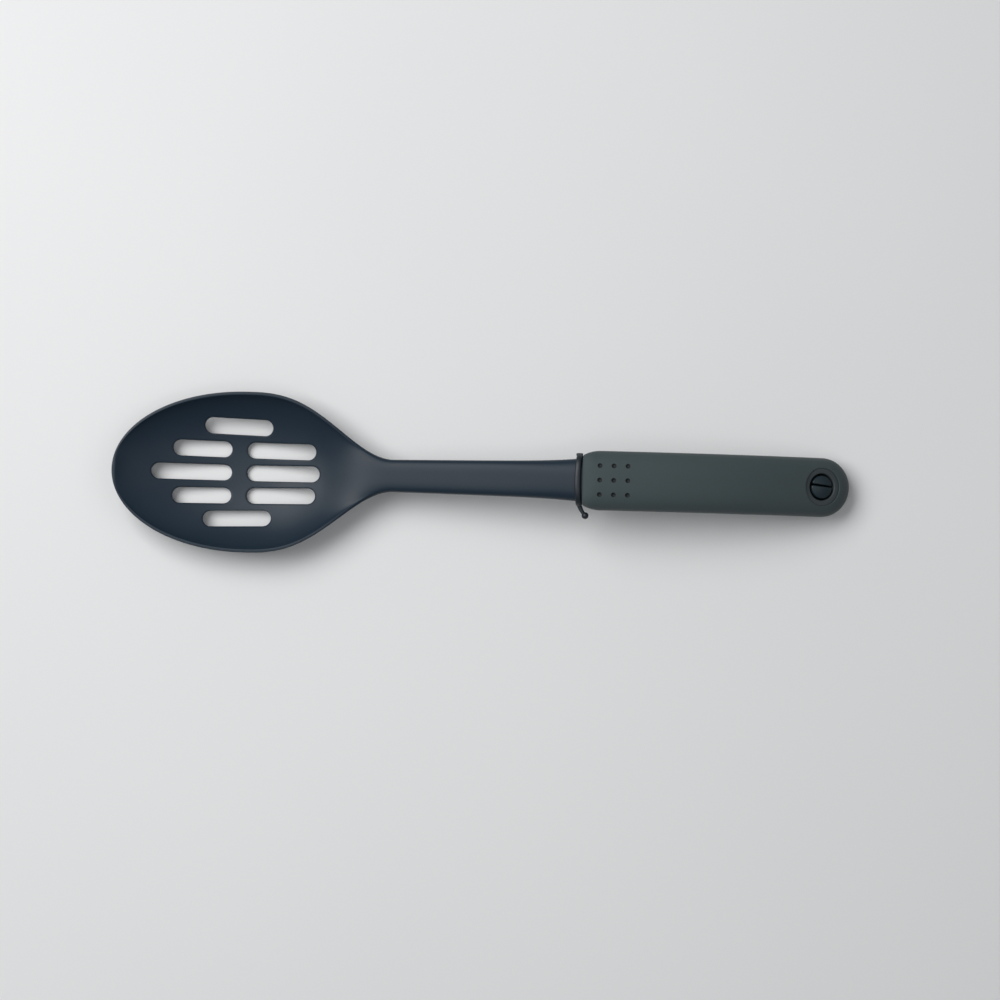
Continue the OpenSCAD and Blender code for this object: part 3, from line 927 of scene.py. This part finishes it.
        end = self.stance.arc_len
        feet, ways = self._path()
        near = self.half_w * self.middle_share
        reaches = mix(near, self.half_w, sharpening(self.edge_steps, self.edge_crowd))
        bands = columns(feet, 0.0) + reaches[:, None, None] * ways
        laid = lay(bands)
        if outline is not None:
            laid[-1] = outline
        shell.grid(laid)
        across = np.linspace(near, -near, self.front_steps + 1)[1:-1]
        front_plan = columns(0.0, across)
        runs = [feet[:np.argmax(feet >= end)], np.arange(end, end + near, self.end_step)]
        run, y = np.meshgrid(np.concatenate(runs)[1:], across, indexing="ij")
        hole = Slot(2 * self.hole_r, 2 * self.hole_r, (end - self.stance.hang_inset, 0.0))
        offsets = self.hole_edge * np.array(self.hole_rings)
        pits = self.dimples() if side is Side.TOP and layer is Layer.OUTER else []
        clear = np.hypot(np.maximum(0, run - end), y) < near - self.end_margin
        clear &= hole.distance(run, y) > offsets[-1] + self.hole_margin
        for pit in pits:
            clear &= pit.distance(run, y) > self.dimple_rings[-1] + self.dimple_margin
        loose = columns(run[clear], y[clear])
        mouths = [pit.outline(self.dimple_rings[-1], self.dimple_steps) for pit in pits]
        corners = pierced(np.vstack([bands[0], front_plan]), loose,
                          [hole.outline(offsets[-1], self.hole_steps), *mouths])
        drops = edge_drop(offsets, self.hole_edge)
        if layer is Layer.INNER:
            offsets, drops = offsets[[0, -1]], np.zeros(2)
        walls = [lay(hole.outline(offset, self.hole_steps), drop) for offset, drop in zip(offsets, drops)]
        shell.band(*walls)
        around = [walls[-1], *[self._pit(shell, pit) for pit in pits]]
        front, inner = lay(front_plan), lay(loose)
        shell.faces(np.concatenate([laid[0], front, inner, *around])[corners])
        edge = np.concatenate([laid[::-1, 0], front[::-1], laid[:, -1]])
        return laid[-1], edge, walls[0]

    def _pit(self, shell: Shell, pit: Slot) -> Array:
        """Sinks one dimple: rings from outside its mouth down to its middle.

        Args:
            shell: what the faces go into.
            pit: the dimple's mouth.
        Returns: the numbers of the outermost ring.
        """
        mouth = self.dimple_d / 2
        radii = np.concatenate([(mouth + np.array(self.dimple_rings))[::-1],
                                mouth * np.sin(np.radians(self.dimple_angles))])

        def sunk(plan: Array, radius: float) -> Array:
            """Returns: the plan's points, as deep as the dimple is at that radius."""
            return self.surface(Side.TOP, Layer.OUTER, plan,
                                self.dimple_drop(radius) - self.dimple_drop(radii[0]))

        outlines = [pit.outline(radius - mouth, self.dimple_steps) for radius in radii]
        rings = [shell.add(sunk(outline, radius)) for outline, radius in zip(outlines, radii)]
        shell.band(*rings)
        shell.fan(rings[-1], sunk(np.array(pit.middle), 0.0))
        return rings[0]


def rounded_profile(corners: Sequence[Triple], steps: int = 5) -> Array:
    """Outline with its corners rounded.

    Args:
        corners: (radius, height, corner radius) of each corner, in order.
        steps: steps round each corner.
    Returns: points where each corner is an arc that meets both of its sides.
    """
    made = []
    for i, (r, z, size) in enumerate(corners):
        turn = np.linspace(0, math.pi / 2, steps + 1 if size else 1)[:, None]
        here = np.array([r, z])
        back = np.array(corners[i - 1][:2]) - here
        on = np.array(corners[(i + 1) % len(corners)][:2]) - here
        back, on = back / np.linalg.norm(back), on / np.linalg.norm(on)
        made.append(here + size * back * (1 - np.sin(turn)) + size * on * (1 - np.cos(turn)))
    return np.vstack(made)


@dataclass(frozen=True)
class HangFitting:
    """The liner of the hang hole, and the split plug that turns in it."""

    stance: Stance
    hang_d: float = 12.0
    flange_d: float = 16.8
    flange_t: float = 1.2
    recess: float = 1.1
    back_pocket: float = 2.2
    liner_edge: float = 0.3
    head_d: float = 10.2
    dome: float = 0.9
    below: float = 0.2
    slit: float = 0.8
    slit_off: float = 0.6
    turn: float = math.radians(6)
    collar_len: float = 4.4
    rib: float = 0.35
    rib_w: float = 0.8
    plug_flange_d: float = 15.0
    plug_flange_t: float = 1.0
    run_gap: float = 0.05
    loose_gap: float = 0.3
    corner_r: float = 0.7
    head_edge: float = 0.45
    # How finely the surfaces are divided.
    segments: int = 128
    arc_steps: int = 40
    corner_steps: int = 8
    flat_steps: int = 18
    edge_steps: int = 6
    dome_shares: tuple[float, ...] = (0.8, 0.55, 0.3, 0.12)

    @property
    def liner_top(self) -> float:
        """Returns: height of the liner's face over the hole's middle."""
        return self.stance.handle_t / 2 - self.recess

    @property
    def liner_back(self) -> float:
        """Returns: height of the liner's back face."""
        return self.back_pocket - self.stance.handle_t / 2

    @property
    def plug_base(self) -> float:
        """Returns: height of the plug's flange."""
        return self.liner_back - self.loose_gap

    @property
    def rib_top(self) -> float:
        """Returns: height of the snap rib's upper edge."""
        return self.plug_base + self.collar_len - self.rib_w

    def _turned(self, corners: Sequence[Triple]) -> list[Array]:
        """Returns: the circles about the hole's axis that a rounded profile turns into."""
        around = circle(all_round(self.segments)).T
        return [self.stance.at_hole(*(r * around), z) for r, z in rounded_profile(corners)]

    def build_liner(self) -> bpy.types.Object:
        """Returns: the liner, a rounded profile with two flanges and a groove, turned about the hole."""
        bore, tube, flange = self.hang_d / 2, self.stance.liner_d / 2, self.flange_d / 2
        broad, fine = self.liner_edge, self.liner_edge / 3
        groove = bore + self.rib + self.run_gap
        front, back = self.liner_top - self.flange_t, self.liner_back + self.flange_t
        low, high = self.rib_top - self.rib_w - self.loose_gap, self.rib_top + self.loose_gap
        shell = Shell()
        rings = [shell.add(ring) for ring in self._turned([
            (bore, self.liner_top, 2 * broad), (flange, self.liner_top, broad),
            (flange, front, broad / 2), (tube, front, fine), (tube, back, fine), (flange, back, broad / 2),
            (flange, self.liner_back, broad), (bore, self.liner_back, broad),
            (bore, low, fine), (groove, low, fine), (groove, high, fine), (bore, high, fine),
        ])]
        shell.band(*rings, rings[0])
        return shell.build("hole_liner_ring")

    def build_plug(self) -> bpy.types.Object:
        """Returns: the plug: a turned flange and collar with a snap rib, and two half-round heads."""
        collar, flange = self.hang_d / 2 - self.run_gap, self.plug_flange_d / 2
        rib, rib_low = collar + self.rib, self.rib_top - self.rib_w
        foot, crown = self.plug_base - self.plug_flange_t, self.plug_base + self.collar_len
        broad, fine = self.rib / 2, self.rib / 6
        rings = self._turned([
            (flange - broad, foot, 0.0), (flange, foot, broad), (flange, self.plug_base, broad),
            (collar, self.plug_base, broad / 2), (collar, rib_low, fine), (rib, rib_low, broad),
            (rib, self.rib_top, broad), (collar, self.rib_top, fine), (collar, crown, broad),
        ])
        shell = Shell()
        shell.post(rings[1:], *[self.stance.at_hole(0, 0, height) for height in (foot, crown)])
        for way in (1, -1):
            shell.close()
            self._head(shell, way, crown)
        return shell.build("hang_plug_split")

    def _head(self, shell: Shell, way: int, crown: float) -> None:
        """Adds one half-round head: a post of D section, with rounded corners and a domed top.

        Args:
            shell: what the faces go into.
            way: 1 or -1, the side of the slit.
            crown: height of the collar's top.
        """
        radius, r = self.head_d / 2, self.corner_r
        line = self.slit / 2 + way * self.slit_off + r
        start = math.asin(line / (radius - r))
        arc = np.linspace(start, math.pi - start, self.arc_steps)
        corner = np.linspace(math.pi - start, 1.5 * math.pi, self.corner_steps)[1:-1]
        other = np.linspace(-math.pi / 2, start, self.corner_steps)[1:-1]
        run = np.linspace(-1, 1, self.flat_steps) * (radius - r) * math.cos(start)
        feet = np.vstack([
            (radius - r) * circle(arc),
            np.tile([run[0], line], (len(corner), 1)),
            columns(run, line),
            np.tile([run[-1], line], (len(other), 1)),
        ])
        normals = circle(np.concatenate([arc, corner, np.full_like(run, -math.pi / 2), other]))
        dome_r = (radius ** 2 + self.dome ** 2) / (2 * self.dome)
        c, s = math.cos(self.turn), math.sin(self.turn)

        def place(plan: Array, height: float | None = None, drop: float = 0.0) -> Array:
            """Returns: the plan's points at a height, or on the dome less a drop."""
            if height is None:
                top = self.stance.handle_t / 2 - self.below
                height = top - dome_r + np.sqrt(dome_r ** 2 - (plan ** 2).sum(axis=-1)) - drop
            x, y = plan[..., 0], plan[..., 1] * way
            return self.stance.at_hole(x * c + y * s, y * c - x * s, height)

        middle = np.array([0.0, (line + radius) / 2])
        base = crown - self.rib_w
        rings = [place(feet + normals * r, base)]
        for a in np.linspace(0, math.pi / 2, self.edge_steps):
            inset, drop = self.head_edge * (1 - math.cos(a)), self.head_edge * (1 - math.sin(a))
            rings.append(place(feet + normals * (r - inset), drop=drop))
        inner = feet + normals * (r - self.head_edge)
        rings += [place(mix(middle, inner, share)) for share in self.dome_shares]
        shell.post(rings, place(middle, base), place(middle))


@dataclass(frozen=True)
class NeckTie:
    """The glossy tie round the neck: a rounded band, its lock, and a tail with a ball on its end."""

    stance: Stance
    width: float = 2.6
    thickness: float = 1.6
    gap: float = 0.3
    power: float = 2.6
    band_power: float = 2.8
    lock: Triple = (3.0, 1.5, 3.4)
    lock_power: float = 4.5
    bow: float = 0.5
    tail_root_r: float = 1.1
    tail_r: float = 0.75
    tail_out: float = 4.8
    tail_back: float = 2.8
    tail_bend: tuple[float, float] = (0.25, 0.5)
    ball_r: float = 1.55
    # How finely the surfaces are divided.
    path_steps: int = 180
    section_steps: int = 24
    lock_steps: tuple[int, int] = (40, 20)
    tail_steps: int = 40
    ball_steps: int = 13

    @property
    def centre_x(self) -> float:
        """Returns: the band's middle before the handle's front."""
        return -self.gap - self.width / 2

    @property
    def reach(self) -> Array:
        """Returns: half the width and half the height of the line that the band's middle follows."""
        neck = np.array([self.stance.neck_end_w, self.stance.neck_end_t])
        return neck / 2 + self.gap + self.thickness / 2

    def build(self) -> bpy.types.Object:
        """Returns: the tie as one piece."""
        shell = Shell()
        self._band(shell)
        shell.close()
        self._lock(shell)
        shell.close()
        self._tail(shell)
        return shell.build("neck_tie_band")

    def _band(self, shell: Shell) -> None:
        """Adds the band: a rounded section carried round the neck's outline |y/W|^p + |z/T|^p = 1.

        Args:
            shell: what the faces go into.
        """
        a = all_round(self.path_steps) + math.pi / self.path_steps
        mid = self.reach * oval_run(circle(a)[:, ::-1], self.power)
        slope = np.sign(mid) * (np.abs(mid) / self.reach) ** (self.power - 1) / self.reach
        out = slope / np.linalg.norm(slope, axis=-1, keepdims=True)
        along, rise = oval_run(circle(all_round(self.section_steps)), self.band_power).T
        ring = mid[:, None] + out[:, None] * (self.thickness / 2 * rise)[None, :, None]
        bow = self.bow * ((mid[:, :1] / self.reach[0]) ** 2 - 1)
        numbers = shell.add(self.stance.at_front(
            self.centre_x + self.width / 2 * along[None] + bow, ring[..., 0], ring[..., 1]))
        closed = np.vstack([numbers, numbers[:1]])
        shell.grid(np.hstack([closed, closed[:, :1]]))

    def _lock(self, shell: Shell) -> None:
        """Adds the lock: a block whose outline is |x/a|^p + |y/b|^p + |z/c|^p = 1.

        Args:
            shell: what the faces go into.
        """
        along, out, high = np.array(self.lock) / 2
        middle = self.reach[0] - self.thickness / 4 + out
        centre = self.centre_x + self.width / 2 - along
        around, rows = self.lock_steps
        lat = np.linspace(-math.pi / 2, math.pi / 2, rows + 1)[1:-1, None]
        flat = oval_run(np.cos(lat), self.lock_power)
        x, y = oval_run(circle(all_round(around)), self.lock_power).T
        rings = self.stance.at_front(centre + along * flat * x, middle + out * flat * y,
                                     high * oval_run(np.sin(lat), self.lock_power))
        shell.post(rings, *[self.stance.at_front(centre, middle, way * high) for way in (-1, 1)])

    def _tail(self, shell: Shell) -> None:
        """Adds the tail: a round rod along a quarter-bent curve, that swells into its ball.

        Args:
            shell: what the faces go into.
        """
        foot = np.array([self.centre_x, -self.reach[0]])
        step = np.array([self.tail_back, -self.tail_out])
        t = np.linspace(0, 1, self.tail_steps)[:, None]
        bend, end = foot + step * self.tail_bend, foot + step
        path = (1 - t) ** 2 * foot + 2 * t * (1 - t) * bend + t ** 2 * end
        run = np.append(0, np.cumsum(np.linalg.norm(np.diff(path, axis=0), axis=-1)))
        way = np.gradient(path, axis=0)
        way /= np.linalg.norm(way, axis=-1, keepdims=True)
        past = self.ball_r * np.sin(np.linspace(0, math.pi / 2, self.ball_steps + 1))[1:, None]
        path = np.vstack([path, path[-1] + way[-1] * past])
        way = np.vstack([way, np.tile(way[-1], (len(past), 1))])
        length = run[-1]
        run = np.append(run, length + past[:, 0])
        ball = np.sqrt(np.maximum(0, self.ball_r ** 2 - (run - length) ** 2))
        rod = mix(self.tail_root_r, self.tail_r, run / length) * (run < length)
        radius = np.maximum(ball, rod)[:-1, None]
        side, up = circle(all_round(self.section_steps)).T
        across = columns(-way[:-1, 1], way[:-1, 0])
        flat = path[:-1, None] + across[:, None] * (radius * side)[..., None]
        rings = self.stance.at_front(flat[..., 0], flat[..., 1], radius * up)
        shell.post(rings, *[self.stance.at_front(*path[i], 0.0) for i in (0, -1)])


class Graph:
    """The node tree of one material, built from typed nodes and plain sums."""

    def __init__(self, name: str) -> None:
        """Starts an empty material of that name."""
        self.material = bpy.data.materials.new(name)
        self.material.use_nodes = True
        self.tree = self.material.node_tree
        self.tree.nodes.clear()

    def node(self, kind: str, settings: dict[str, object] | None = None,
             inputs: dict[str | int, object] | None = None) -> bpy.types.Node:
        """Adds one node.

        Args:
            kind: the node's type.
            settings: its own settings, set before its sockets; "stops" are a ramp's positions and greys.
            inputs: what goes into its sockets, as numbers, colours or signals.
        Returns: the node.
        """
        made = self.tree.nodes.new(kind)
        for name, value in (settings or {}).items():
            if name == "stops":
                for stop, (place, grey) in zip(made.color_ramp.elements, value, strict=True):
                    stop.position, stop.color = place, (grey, grey, grey, 1)
            else:
                setattr(made, name, value)
        for name, value in (inputs or {}).items():
            if isinstance(value, Signal):
                self.tree.links.new(value.socket, made.inputs[name])
            else:
                made.inputs[name].default_value = value
        return made

    def signal(self, kind: str, settings: dict[str, object] | None = None,
               inputs: dict[str | int, object] | None = None, output: str | int = 0) -> "Signal":
        """Returns: one output of a new node, as a signal."""
        return Signal(self, self.node(kind, settings, inputs).outputs[output])

    def blend(self, share: "Signal", low: "Triple | Signal", high: Triple) -> "Signal":
        """Returns: a colour between low and high."""
        start = low if isinstance(low, Signal) else (*low, 1)
        return self.signal("ShaderNodeMix", {"data_type": "RGBA"}, {0: share, 6: start, 7: (*high, 1)}, 2)

    def noise(self, scale: float, detail: float, stretch: Triple = (1, 1, 1)) -> "Signal":
        """Noise through the piece.

        Args:
            scale: how many swells fit in a metre.
            detail: how many finer layers lie over it.
            stretch: how much closer the swells lie along each axis.
        Returns: the noise, from 0 to 1.
        """
        place = self.signal("ShaderNodeTexCoord", output="Object")
        turned = self.signal("ShaderNodeMapping", {}, {"Vector": place, "Scale": stretch})
        return self.signal("ShaderNodeTexNoise", {}, {"Vector": turned, "Scale": scale, "Detail": detail})

    def ramp(self, value: "Signal", stops: Sequence[tuple[float, float]]) -> "Signal":
        """Returns: the value taken through two grey stops."""
        return self.signal("ShaderNodeValToRGB", {"stops": stops}, {0: value})

    def finish(self, sockets: dict[str, object], height: "Signal", depth: float, strength: float
               ) -> bpy.types.Material:
        """Ends the material in one surface shader.

        Args:
            sockets: what goes into the shader's sockets.
            height: relief, from 0 to 1.
            depth: the relief's depth in millimetres.
            strength: the share of it that is used.
        Returns: the material.
        """
        relief = {"Strength": strength, "Distance": depth * MM, "Height": height}
        bump = self.signal("ShaderNodeBump", {}, relief)
        shader = self.node("ShaderNodeBsdfPrincipled", {}, {**sockets, "Normal": bump})
        output = self.node("ShaderNodeOutputMaterial")
        self.tree.links.new(shader.outputs[0], output.inputs[0])
        return self.material


@dataclass(frozen=True)
class Signal:
    """A number on its way through a shader; sums of signals add their Math nodes."""

    graph: Graph
    socket: bpy.types.NodeSocket

    def _math(self, operation: str, left: object, right: object) -> "Signal":
        """Returns: the operation on two numbers or signals."""
        return self.graph.signal("ShaderNodeMath", {"operation": operation}, {0: left, 1: right})

    def __add__(self, other: object) -> "Signal":
        """Returns: self + other."""
        return self._math("ADD", self, other)

    def __radd__(self, other: object) -> "Signal":
        """Returns: other + self."""
        return self._math("ADD", other, self)

    def __sub__(self, other: object) -> "Signal":
        """Returns: self - other."""
        return self._math("SUBTRACT", self, other)

    def __rsub__(self, other: object) -> "Signal":
        """Returns: other - self."""
        return self._math("SUBTRACT", other, self)

    def __mul__(self, other: object) -> "Signal":
        """Returns: self * other."""
        return self._math("MULTIPLY", self, other)

    def __rmul__(self, other: object) -> "Signal":
        """Returns: other * self."""
        return self._math("MULTIPLY", other, self)


@dataclass(frozen=True)
class MouldedPlastic:
    """A moulded plastic: two close tones, drawn along the spoon by the melt's flow, with a fine grain."""

    name: str
    dark: Triple
    light: Triple
    roughness: float
    roughness_swing: float
    grain_scale: float
    grain_depth: float
    grain_strength: float
    specular: float = 0.5
    sheen: float = 0.0
    sheen_roughness: float = 0.5
    # pit: a darker base colour painted inside the grip's dimples as shade in their hollows, where the pit
    # attribute is 1.
    pit: Triple | None = None
    # The clouds and the flow marks, the same in every plastic.
    cloud_scale: float = 22.0
    cloud_share: float = 0.6
    flow_scale: float = 30.0
    flow_detail: float = 4.0
    flow_stretch: Triple = (0.35, 2.4, 2.4)
    detail: float = 3.0
    tone_stops: tuple[tuple[float, float], ...] = ((0.3, 0.0), (0.7, 1.0))

    def make(self) -> bpy.types.Material:
        """Returns: the finish as a material."""
        graph = Graph(self.name)
        cloud = graph.noise(self.cloud_scale, self.detail)
        flow = graph.noise(self.flow_scale, self.flow_detail, self.flow_stretch)
        grain = graph.noise(self.grain_scale, self.detail)
        tone = graph.ramp(cloud * self.cloud_share + flow * (1 - self.cloud_share), self.tone_stops)
        rough = self.roughness + (flow - 0.5) * self.roughness_swing + (grain - 0.5) * self.roughness_swing
        colour = graph.blend(tone, self.dark, self.light)
        # Painted shade: the dimples' walls take the darker pit colour, standing in for the shade in their
        # hollows.
        if self.pit is not None:
            pit_shade_share = graph.signal("ShaderNodeAttribute", {"attribute_name": PIT_SHADE_MARK}, output="Fac")
            colour = graph.blend(pit_shade_share, colour, self.pit)
        sockets = {
            "Base Color": colour,
            "Roughness": rough,
            "Specular IOR Level": self.specular,
            "Sheen Weight": self.sheen,
            "Sheen Roughness": self.sheen_roughness,
        }
        return graph.finish(sockets, grain, self.grain_depth, self.grain_strength)


NYLON = MouldedPlastic("satin_nylon", (0.008, 0.019, 0.033), (0.013, 0.025, 0.040),
                       0.45, 0.10, 1500.0, 0.03, 0.35, specular=0.31)
# Its pit colour is painted shade inside the grip's dimples.
SOFT_TOUCH = MouldedPlastic("soft_touch", (0.032, 0.049, 0.053), (0.038, 0.056, 0.059),
                            0.72, 0.08, 2600.0, 0.04, 0.5, specular=0.47, sheen=0.07,
                            pit=(0.007, 0.011, 0.013))
CORE = MouldedPlastic("core_plastic", (0.014, 0.014, 0.016), (0.020, 0.020, 0.022),
                      0.5, 0.1, 900.0, 0.03, 0.3)
LINER = MouldedPlastic("liner_plastic", (0.034, 0.045, 0.050), (0.041, 0.052, 0.056),
                       0.58, 0.1, 2000.0, 0.03, 0.4, specular=0.4)
PLUG = MouldedPlastic("plug_plastic", (0.012, 0.024, 0.031), (0.017, 0.029, 0.037),
                      0.36, 0.06, 900.0, 0.02, 0.2, specular=0.34)
TIE = MouldedPlastic("tie_plastic", (0.004, 0.009, 0.015), (0.006, 0.012, 0.019),
                     0.44, 0.08, 900.0, 0.02, 0.2, specular=0.47)


@dataclass(frozen=True)
class Lamp:
    """One soft area lamp: where it hangs, what it is aimed at, how large and how strong it is."""

    name: str
    place: Triple
    aim: Triple
    size: tuple[float, float]
    watts: float

    def build(self) -> None:
        """Adds the lamp to the scene; places are in metres."""
        data = bpy.data.lights.new(self.name, "AREA")
        data.shape = "RECTANGLE"
        data.size, data.size_y = self.size
        data.energy = self.watts
        lamp = bpy.data.objects.new(self.name, data)
        lamp.location = self.place
        lamp.rotation_euler = (Vector(self.aim) - Vector(self.place)).to_track_quat("-Z", "Y").to_euler()
        bpy.context.scene.collection.objects.link(lamp)


@dataclass(frozen=True)
class Studio:
    """Pale floor, soft light, and the camera at the photograph's angle; lengths are in metres."""

    elevation: float = math.radians(88.5)
    roll: float = math.radians(1.5)
    distance: float = 1.5
    view_width: float = 0.4462
    target: Triple = (0.0087, -0.0095, 0.015)
    sensor: float = 36.0
    floor_size: float = 6.0
    floor_drop: float = 0.0002
    floor_dark: Triple = (0.74, 0.745, 0.75)
    floor_light: Triple = (0.80, 0.80, 0.80)
    floor_roughness: float = 0.7
    floor_specular: float = 0.2
    world_tint: Triple = (0.94, 0.97, 1.0)
    world_strength: float = 0.175
    lamps: tuple[Lamp, ...] = (
        Lamp("key", (-0.66, 0.42, 1.08), (0.0, 0.0, 0.0), (1.1, 0.8), 15.8),
        Lamp("fill", (0.7, 0.1, 1.2), (0.0, 0.0, 0.0), (0.8, 0.8), 1.5),
        Lamp("near", (-0.1, -0.35, 1.3), (0.1, 0.0, 0.0), (0.5, 0.4), 1.4),
    )

    def build(self) -> None:
        """Sets up the floor, the world, the lamps and the camera."""
        self._floor()
        self._world()
        for lamp in self.lamps:
            lamp.build()
        self._camera()
        bpy.context.scene.view_settings.view_transform = "Standard"

    def _floor(self) -> None:
        """Lays the floor, pale with a faint cloud of tone."""
        half = self.floor_size / 2
        corners = [(-half, -half), (half, -half), (half, half), (-half, half)]
        mesh = bpy.data.meshes.new("floor")
        mesh.from_pydata([(x, y, -self.floor_drop) for x, y in corners], [], [(0, 1, 2, 3)])
        floor = bpy.data.objects.new("floor", mesh)
        bpy.context.scene.collection.objects.link(floor)
        graph = Graph("pale_floor")
        cloud = graph.noise(scale=3.0, detail=2.0)
        sockets = {
            "Base Color": graph.blend(cloud, self.floor_dark, self.floor_light),
            "Roughness": self.floor_roughness + cloud * 0.1,
            "Specular IOR Level": self.floor_specular,
        }
        mesh.materials.append(graph.finish(sockets, cloud, depth=0.01, strength=0.1))

    def _world(self) -> None:
        """Gives an even, slightly cool light from all round."""
        world = bpy.data.worlds.new("studio")
        world.use_nodes = True
        ground = world.node_tree.nodes["Background"]
        ground.inputs["Color"].default_value = (*self.world_tint, 1)
        ground.inputs["Strength"].default_value = self.world_strength
        bpy.context.scene.world = world

    def _camera(self) -> None:
        """Places the camera so that view_width metres at the target fill the frame's width."""
        data = bpy.data.cameras.new("camera")
        data.sensor_width = self.sensor
        data.lens = self.sensor * self.distance / self.view_width
        data.dof.use_dof = False
        camera = bpy.data.objects.new("camera", data)
        back = Vector((0, -math.cos(self.elevation), math.sin(self.elevation)))
        look = (-back).to_track_quat("-Z", "Y").to_matrix() @ Matrix.Rotation(self.roll, 3, "Z")
        place = Vector(self.target) + back * self.distance
        camera.matrix_world = Matrix.Translation(place) @ look.to_4x4()
        bpy.context.scene.collection.objects.link(camera)
        bpy.context.scene.camera = camera


def dress(piece: bpy.types.Object, body: str, nodes: Sequence[str],
          finish: MouldedPlastic) -> None:
    """Puts a finished piece on its body, in the place of its nodes, with its material.

    Args:
        piece: the piece.
        body: the body that it moves with.
        nodes: the model's nodes that it stands for.
        finish: its finish.
    """
    piece.data.materials.append(finish.make())
    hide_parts(*nodes)
    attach(piece, body)
    log.info("%s: %d points, %d faces", piece.name, len(piece.data.vertices), len(piece.data.polygons))


def dress_node(name: str, finish: MouldedPlastic) -> None:
    """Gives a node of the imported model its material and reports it.

    Args:
        name: the node.
        finish: its finish.
    """
    materials = frame["nodes"][name].data.materials
    materials.clear()
    materials.append(finish.make())
    log.info("%s: kept from the packed model", name)


def main() -> None:
    """Builds the spoon's pieces in order and sets up the studio."""
    logging.basicConfig(level=logging.INFO, format="%(name)s: %(message)s")
    Studio().build()
    stance = Stance()
    fitting = HangFitting(stance)
    dress_node("handle_core", CORE)
    dress(Head(stance).build(), "spoon", ["spoon_head"], NYLON)
    dress(Grip(stance).build(), "spoon", ["grip_skin"], SOFT_TOUCH)
    dress(fitting.build_liner(), "spoon", ["hole_liner"], LINER)
    dress(fitting.build_plug(), "plug", ["hang_plug"], PLUG)
    dress(NeckTie(stance).build(), "tie", ["neck_tie"], TIE)


if __name__ == "__main__":
    main()
